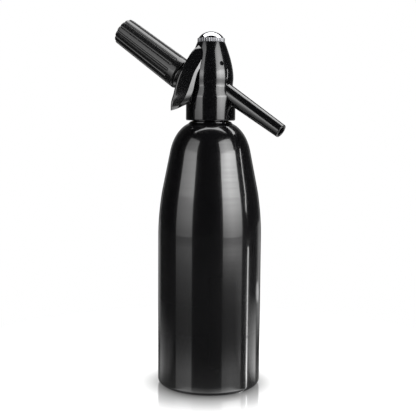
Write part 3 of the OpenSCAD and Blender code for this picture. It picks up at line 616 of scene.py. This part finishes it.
# Spout: a straight tube that narrows to its open end, moulded in gloss black and pushed
# into a socket in the side of the head.
spigot_r, spigot_bore, spigot_low, spout_root = 4.4, 2.6, 14.6, 17.25
root_r, tip_r, tip_s, spout_bore, bore_low = 7.45, 5.92, 78.9, 3.9, 24.05
lip_outside, lip_inside, lip_end, lip_edge, bore_edge = 5.9, 3.95, 79.6, 0.45, 0.3
spout_outline = [(spigot_bore, spigot_low), (spigot_r, spigot_low), (spigot_r, spout_root)]
spout_outline += [(root_r, spout_root), (tip_r, tip_s)]
spout_outline += arc((lip_outside - lip_edge, lip_end - lip_edge), lip_edge, 0, 90, 5)
spout_outline += arc((lip_inside + bore_edge, lip_end - bore_edge), bore_edge, 90, 180, 4)
spout_outline += [(spout_bore, lip_end - 0.6), (spout_bore, bore_low), (spigot_bore, bore_low)]
spout = turned("spout_tube", join(spout_outline), 128, "head", moulding, spout_place)
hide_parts("spout")


# Inlet cone: a flared black cover between the boss and the charger holder, pushed over
# the brass inlet.
cone_bore, cone_end = 7.05, 34.2
cone_outline = [(cone_bore, boss_end), (boss_r, boss_end)]
cone_outline += curve((8.2, 27.3), (8.6, 28.2), (10.2, 30.6), 8)
cone_outline += curve((10.2, 30.6), (12.1, 32.8), (12.3, 33.2), 6)
cone_outline += [(12.35, 33.6), (12.2, cone_end), (cone_bore, cone_end)]
cone = turned("inlet_cone", join(cone_outline), 128, "head", moulding, holder_place)
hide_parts("inlet_shroud")


# Charger holder: a satin black sleeve that screws over the charger. Rounded near end, a
# plain band, fourteen grip grooves that run out at the flat far end.
satin, spot = new_material("satin_black_moulding")
grain = noise(spot, 900.0, 3.0)
hand = noise(spot, 70.0, 3.0)
surface_finish(
    spot,
    Base_Color=(0.006, 0.006, 0.0065, 1),
    Roughness=0.2 + hand * 0.08,
    IOR=1.55,
    Coat_Weight=0.8,
    Coat_Roughness=0.13,
    Coat_IOR=1.6,
    Normal=relief(grain, 0.04, 0.0004),
)
near_end, far_end = 34.5, 107.85
near_radius, far_radius = 13.7, 12.5
near_round, far_round = 1.6, 0.9
groove_count, groove_radius, groove_lift, plain_band = 14, 1.4, 0.2, 9.0
groove_start = near_end + plain_band
half_groove = math.sqrt(groove_radius**2 - groove_lift**2)
middle_radius = 13.1


def tapered_radius(s):
    """The sleeve's straight side from end to end."""
    return near_radius + (far_radius - near_radius) * (s - near_end) / (far_end - near_end)


def sleeve_radius(s):
    """The sleeve's side without its grooves, with both ends rounded."""
    plain = tapered_radius(s)
    if s < near_end + near_round:
        return plain - near_round + math.sqrt(max(near_round**2 - (near_end + near_round - s) ** 2, 0))
    if s > far_end - far_round:
        return plain - far_round + math.sqrt(max(far_round**2 - (s - far_end + far_round) ** 2, 0))
    return plain


def groove_depth(x, s):
    """How deep a groove is at x across it. It starts as a quarter of a ball."""
    reach = groove_radius**2 - x * x - max(groove_start - s, 0) ** 2
    return max(math.sqrt(reach) - groove_lift, 0) if reach > 0 else 0.0


levels = [near_end + near_round * (1 - math.cos(math.radians(a))) for a in range(0, 91, 15)]
levels += [near_end + 4.5] + [groove_start + x for x in (-1.39, -1.1, -0.7, -0.3, 0.0)]
levels += [groove_start + (far_end - far_round - groove_start) * i / 12 for i in range(1, 13)]
levels += [far_end - far_round * (1 - math.sin(math.radians(a))) for a in (20, 40, 60, 80, 90)]
pitch = 2 * math.pi / groove_count
half_turn = half_groove / middle_radius
land_step = (pitch - 2 * half_turn) / 4
off_groove = 9.0
# Each column of points has its turn round the sleeve and its place across a groove
columns = []
for k in range(groove_count):
    middle = (k + 0.5) * pitch
    for x in (-1.0, -0.86, -0.6, -0.3, 0.0, 0.3, 0.6, 0.86, 1.0):
        columns.append((middle + x * half_turn, x * half_groove))
    for i in (1, 2, 3):
        columns.append((middle + half_turn + i * land_step, off_groove))
# Rings down the outside, then over the flat end and back inside to the near end
rings = [
    [(min(sleeve_radius(s), tapered_radius(s) - groove_depth(x, s)), turn, s) for turn, x in columns]
    for s in levels
]
end_ring, liner_r, liner_end, thread_bore, thread_end = 10.3, 10.65, 105.25, 11.06, 45.4
inside = [(liner_r, liner_end), (liner_r, thread_end), (thread_bore, thread_end), (thread_bore, near_end)]
rings += [[(r, turn, s) for turn, x in columns] for r, s in [(end_ring, far_end)] + inside]
verts = [(r * math.cos(t) / 1000, r * math.sin(t) / 1000, s / 1000) for ring in rings for r, t, s in ring]
n = len(columns)
closed_end = len(levels)
faces = bands(len(rings), n, closed=True)
faces[closed_end * n : (closed_end + 1) * n] = [
    tuple(closed_end * n + i for i in range(n)),
    tuple((closed_end + 1) * n + i for i in range(n - 1, -1, -1)),
]
sleeve = add_piece("charger_sleeve", verts, faces, "holder", satin, holder_place, 40)
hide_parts("holder_sleeve")


# Top cap: a chromed screw cap with a fluted ring and a smooth domed top. The ring is
# duller than the dome, and painted shade darkens it most in its flutes.
def colour_mix(share, first, second):
    return share.node("ShaderNodeMix", {"data_type": "RGBA"}, {0: share, 6: first, 7: second}, out=2)


skirt_r, skirt_low, cap_bore = 5.99, 289.5, 4.2
ring_r, ring_low, ring_high, ring_edge = 11.7, 298.35, 301.7, 0.3
flute_count, flute_steps, flute_r, flute_lift = 36, 8, 0.55, 0.12
dome_r, cap_rise, cap_top, cap_axis = 11.0, 6.1, 307.8, 0.02
plate, spot = new_material("bright_chrome")
haze = noise(spot, 220.0, 3.0)
height = spot.node("ShaderNodeSeparateXYZ", None, {0: spot}, out="Z")
from_axis = spot.vector_math("MULTIPLY", (1, 1, 0)).vector_math("LENGTH", out="Value")
on_ring = height.ramp((ring_high + 0.2) / 1000, (ring_high - 0.2) / 1000)
# Painted shade in the hollows of the flutes
flute_shade = from_axis.ramp(ring_r / 1000, (ring_r - 0.35) / 1000)
surface_finish(
    spot,
    Base_Color=colour_mix(on_ring * (0.45 + flute_shade * 0.5), (0.83, 0.84, 0.86, 1), (0.1, 0.1, 0.11, 1)),
    Metallic=1.0,
    Roughness=0.05 + haze * 0.07 + on_ring * 0.15,
    Normal=relief(haze, 0.03, 0.0003),
)
ball = (dome_r**2 + cap_rise**2) / (2 * cap_rise)
lean = math.degrees(math.asin(dome_r / ball))
cap_outline = [(skirt_r, skirt_low), (skirt_r, ring_low), (ring_r - 0.6, ring_low)]
cap_outline += arc((ring_r - ring_edge, ring_low + ring_edge), ring_edge, -90, 0, 4)
cap_outline += arc((ring_r - ring_edge, ring_high - ring_edge), ring_edge, 0, 90, 4)
cap_outline += [(dome_r + 0.05, ring_high + 0.02)]
cap_outline += arc((0, cap_top - ball), ball, 90 - lean, 90, 20)[:-1] + [(cap_axis, cap_top)]
cap_outline += [(cap_axis, head_top), (cap_bore, head_top), (cap_bore, skirt_low)]
around = flute_count * flute_steps
verts = []
for r, z in join(cap_outline):
    for i in range(around):
        turn = 2 * math.pi * i / around
        x = ((i % flute_steps) / flute_steps - 0.5) * 2 * math.pi * ring_r / flute_count
        bite = max(math.sqrt(max(flute_r**2 - x * x, 0)) - flute_lift, 0)
        here = min(r, (ring_r - bite) / 1000) if z < (ring_high - 0.1) / 1000 else r
        verts.append((here * math.cos(turn), here * math.sin(turn), z))
faces = bands(len(join(cap_outline)), around, closed=True)
cap = add_piece("chrome_cap", verts, faces, "cap", plate, None, 40)
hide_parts("top_cap")


# Lever paddle: the thumb lever's moulding. Its top lies in the head's pocket; below it
# spreads into a hollow shield with a ridge down each side and a rounded keel in front.
# Each section gives the height of its inner edge above the pin, the half widths of the
# ridge and the inner edge as shares of the paddle's, the distances of the inner edge, the
# ridge and the keel from the head's axis, and the keel's drop.
sections = [
    (16.6, 0.03, 1.00, 9.6, 10.2, 10.8, 0),
    (14.2, 0.32, 1.00, 9.6, 11.6, 13.9, 0),
    (12.0, 0.56, 1.00, 9.6, 12.3, 16.7, 0),
    (8.5, 0.82, 1.00, 9.8, 12.6, 19.7, 0),
    (4.6, 0.94, 1.00, 10.7, 13.6, 22.6, 0.2),
    (0.1, 0.96, 1.00, 12.7, 16.3, 25.8, 0.4),
    (-7.2, 0.97, 1.00, 18.1, 21.1, 30.6, 1.4),
    (-14.9, 0.97, 1.00, 20.7, 24.5, 33.9, 2.5),
    (-21.9, 0.95, 1.00, 22.4, 27.3, 36.0, 3.6),
    (-28.3, 0.87, 0.96, 24.8, 30.5, 38.4, 4.8),
    (-34.3, 0.48, 0.62, 26.2, 35.6, 38.7, 5.5),
]
steps_per_section = 8
keel_round = 0.2
hollow_top, hollow_foot, hollow_steps = 5.12, 9.57, 24
paddle_wall, open_back = 2.2, 6.3


def section_at(s):
    """The section at a place between two that are given, on a smooth curve through all."""
    last = len(sections) - 1
    i = min(int(s), last - 1)
    t = s - i
    rows = [sections[max(i - 1, 0)], sections[i], sections[i + 1], sections[min(i + 2, last)]]
    return [
        0.5 * (2 * b + t * (c - a) + t * t * (2 * a - 5 * b + 4 * c - d) + t**3 * (3 * b - a - 3 * c + d))
        for a, b, c, d in zip(*rows)
    ]


def paddle_ring(s, inset, back):
    """One closed section of the paddle, moved in by inset, its back opened by back."""
    h, ridge_share, edge_share, inner, ridge, keel, drop = section_at(s)
    slope = drop / (keel - inner)
    edge_w = max(edge_share * paddle_half_width(h) - inset, 0.3)
    ridge_w = max(ridge_share * paddle_half - inset, 0.25)
    ridge, keel = ridge - 0.7 * inset, keel - inset
    apex = (keel - keel_round / 2 * ridge) / (1 - keel_round / 2)
    facet = (apex + keel_round * (ridge - apex), keel_round * ridge_w)
    nose = curve(facet, (apex, 0), (facet[0], -facet[1]), 12)[:7]
    half = [(inner - back, edge_w), (ridge, ridge_w)] + nose
    line = half + [(u, -w) for u, w in reversed(half[:-1])]
    return [(u / 1000, w / 1000, (pin_z + h - slope * (u - inner)) / 1000) for u, w in line]


def skin(name, rings_of_points):
    """A closed skin over sections of equally many points."""
    n = len(rings_of_points[0])
    verts = [p for ring in rings_of_points for p in ring]
    ends = [tuple(range(n)), tuple(range(len(verts) - 1, len(verts) - n - 1, -1))]
    return add_piece(name, verts, ends + bands(len(rings_of_points), n), None, moulding, lever_place, 30)


outside_steps = (len(sections) - 1) * steps_per_section
paddle = skin("thumb_paddle", [paddle_ring(i / steps_per_section, 0, 0) for i in range(outside_steps + 1)])
hollow_step = (hollow_foot - hollow_top) / hollow_steps
hollow_places = [hollow_top + i * hollow_step for i in range(hollow_steps + 1)]
uncut_paddle = paddle.data.copy()
cut(paddle, skin("hollow", [paddle_ring(s, paddle_wall, open_back) for s in hollow_places]))
borrow_normals(paddle, uncut_paddle)
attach(paddle, "lever")
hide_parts("lever_paddle")


# Inner pieces: brass fittings, steel stem, arm, needle and liner, the blackened pin, rubber
# seals, the gas charger and the two plain white tubes. Few of them show, even when the
# head, the holder or the cap is unscrewed.
def inner_finish(name, colour, roughness, metallic, grain_scale, nodes):
    """A finish with fine tool marks, given to CAD nodes that keep their shape."""
    made, spot = new_material(name)
    stretched = spot.node("ShaderNodeMapping", None, {"Vector": spot, "Scale": (1, 1, 6)})
    marks = noise(stretched, grain_scale, 3.0)
    light, dark = [tuple(c * k for c in colour) + (1,) for k in (1.08, 0.86)]
    surface_finish(
        spot,
        Base_Color=colour_mix(marks, dark, light),
        Roughness=roughness + marks * 0.15,
        Metallic=metallic,
        Normal=relief(marks, 0.1, 0.0003),
    )
    for node in nodes:
        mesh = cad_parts[node].data
        mesh.materials.clear()
        mesh.materials.append(made)
    return made


brass_nodes = ["neck_insert", "valve_body", "gland_nut", "dip_tube_nut", "charger_nipple"]
rubber_nodes = ["head_gasket", "valve_seal", "valve_washer", "stem_seal", "spout_seal", "charger_seal"]
rubber_nodes += ["check_valve", "cap_seal"]
steel_nodes = ["valve_stem", "lever_arm", "piercing_pin", "holder_liner"]
tube_nodes = ["measuring_tube", "dip_tube"]
metal, plain = 1.0, 0.0
inner_finish("machined_brass", (0.72, 0.52, 0.24), 0.2, metal, 500.0, brass_nodes)
inner_finish("moulded_rubber", (0.02, 0.02, 0.02), 0.5, plain, 900.0, rubber_nodes)
steel = inner_finish("turned_steel", (0.62, 0.63, 0.65), 0.22, metal, 600.0, steel_nodes)
inner_finish("blackened_steel", (0.03, 0.03, 0.033), 0.4, metal, 600.0, ["pivot_pin"])
inner_finish("drawn_steel", (0.66, 0.67, 0.69), 0.24, metal, 300.0, ["gas_charger"])
inner_finish("natural_plastic", (0.8, 0.8, 0.77), 0.35, plain, 300.0, tube_nodes)


# Valve spring: six turns of round steel wire under the stem's flange, which shortens as
# the lever opens the valve. It is built at one length, on a mesh of its own.
spring_low, spring_high = (Vector(c) * 1000 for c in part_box("valve_spring"))
wire, coil, turns, per_turn, sides_of_wire = 0.45, 3.5, 6, 32, 12
spring_length = spring_high.z - spring_low.z
foot_z, rise_z = spring_low.z + wire, spring_length - 2 * wire
ring_count = turns * per_turn + 1
verts = []
for i in range(ring_count):
    turn = 2 * math.pi * i / per_turn
    middle_z = foot_z + rise_z * i / (ring_count - 1)
    for j in range(sides_of_wire):
        tilt = 2 * math.pi * j / sides_of_wire
        r, z = coil + wire * math.cos(tilt), middle_z + wire * math.sin(tilt)
        verts.append((r * math.cos(turn) / 1000, r * math.sin(turn) / 1000, z / 1000))
ends = [tuple(range(sides_of_wire - 1, -1, -1)), tuple(range(len(verts) - sides_of_wire, len(verts)))]
spring = add_piece("spring_coil", verts, ends + bands(ring_count, sides_of_wire), "head", steel)
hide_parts("valve_spring")
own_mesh(spring)
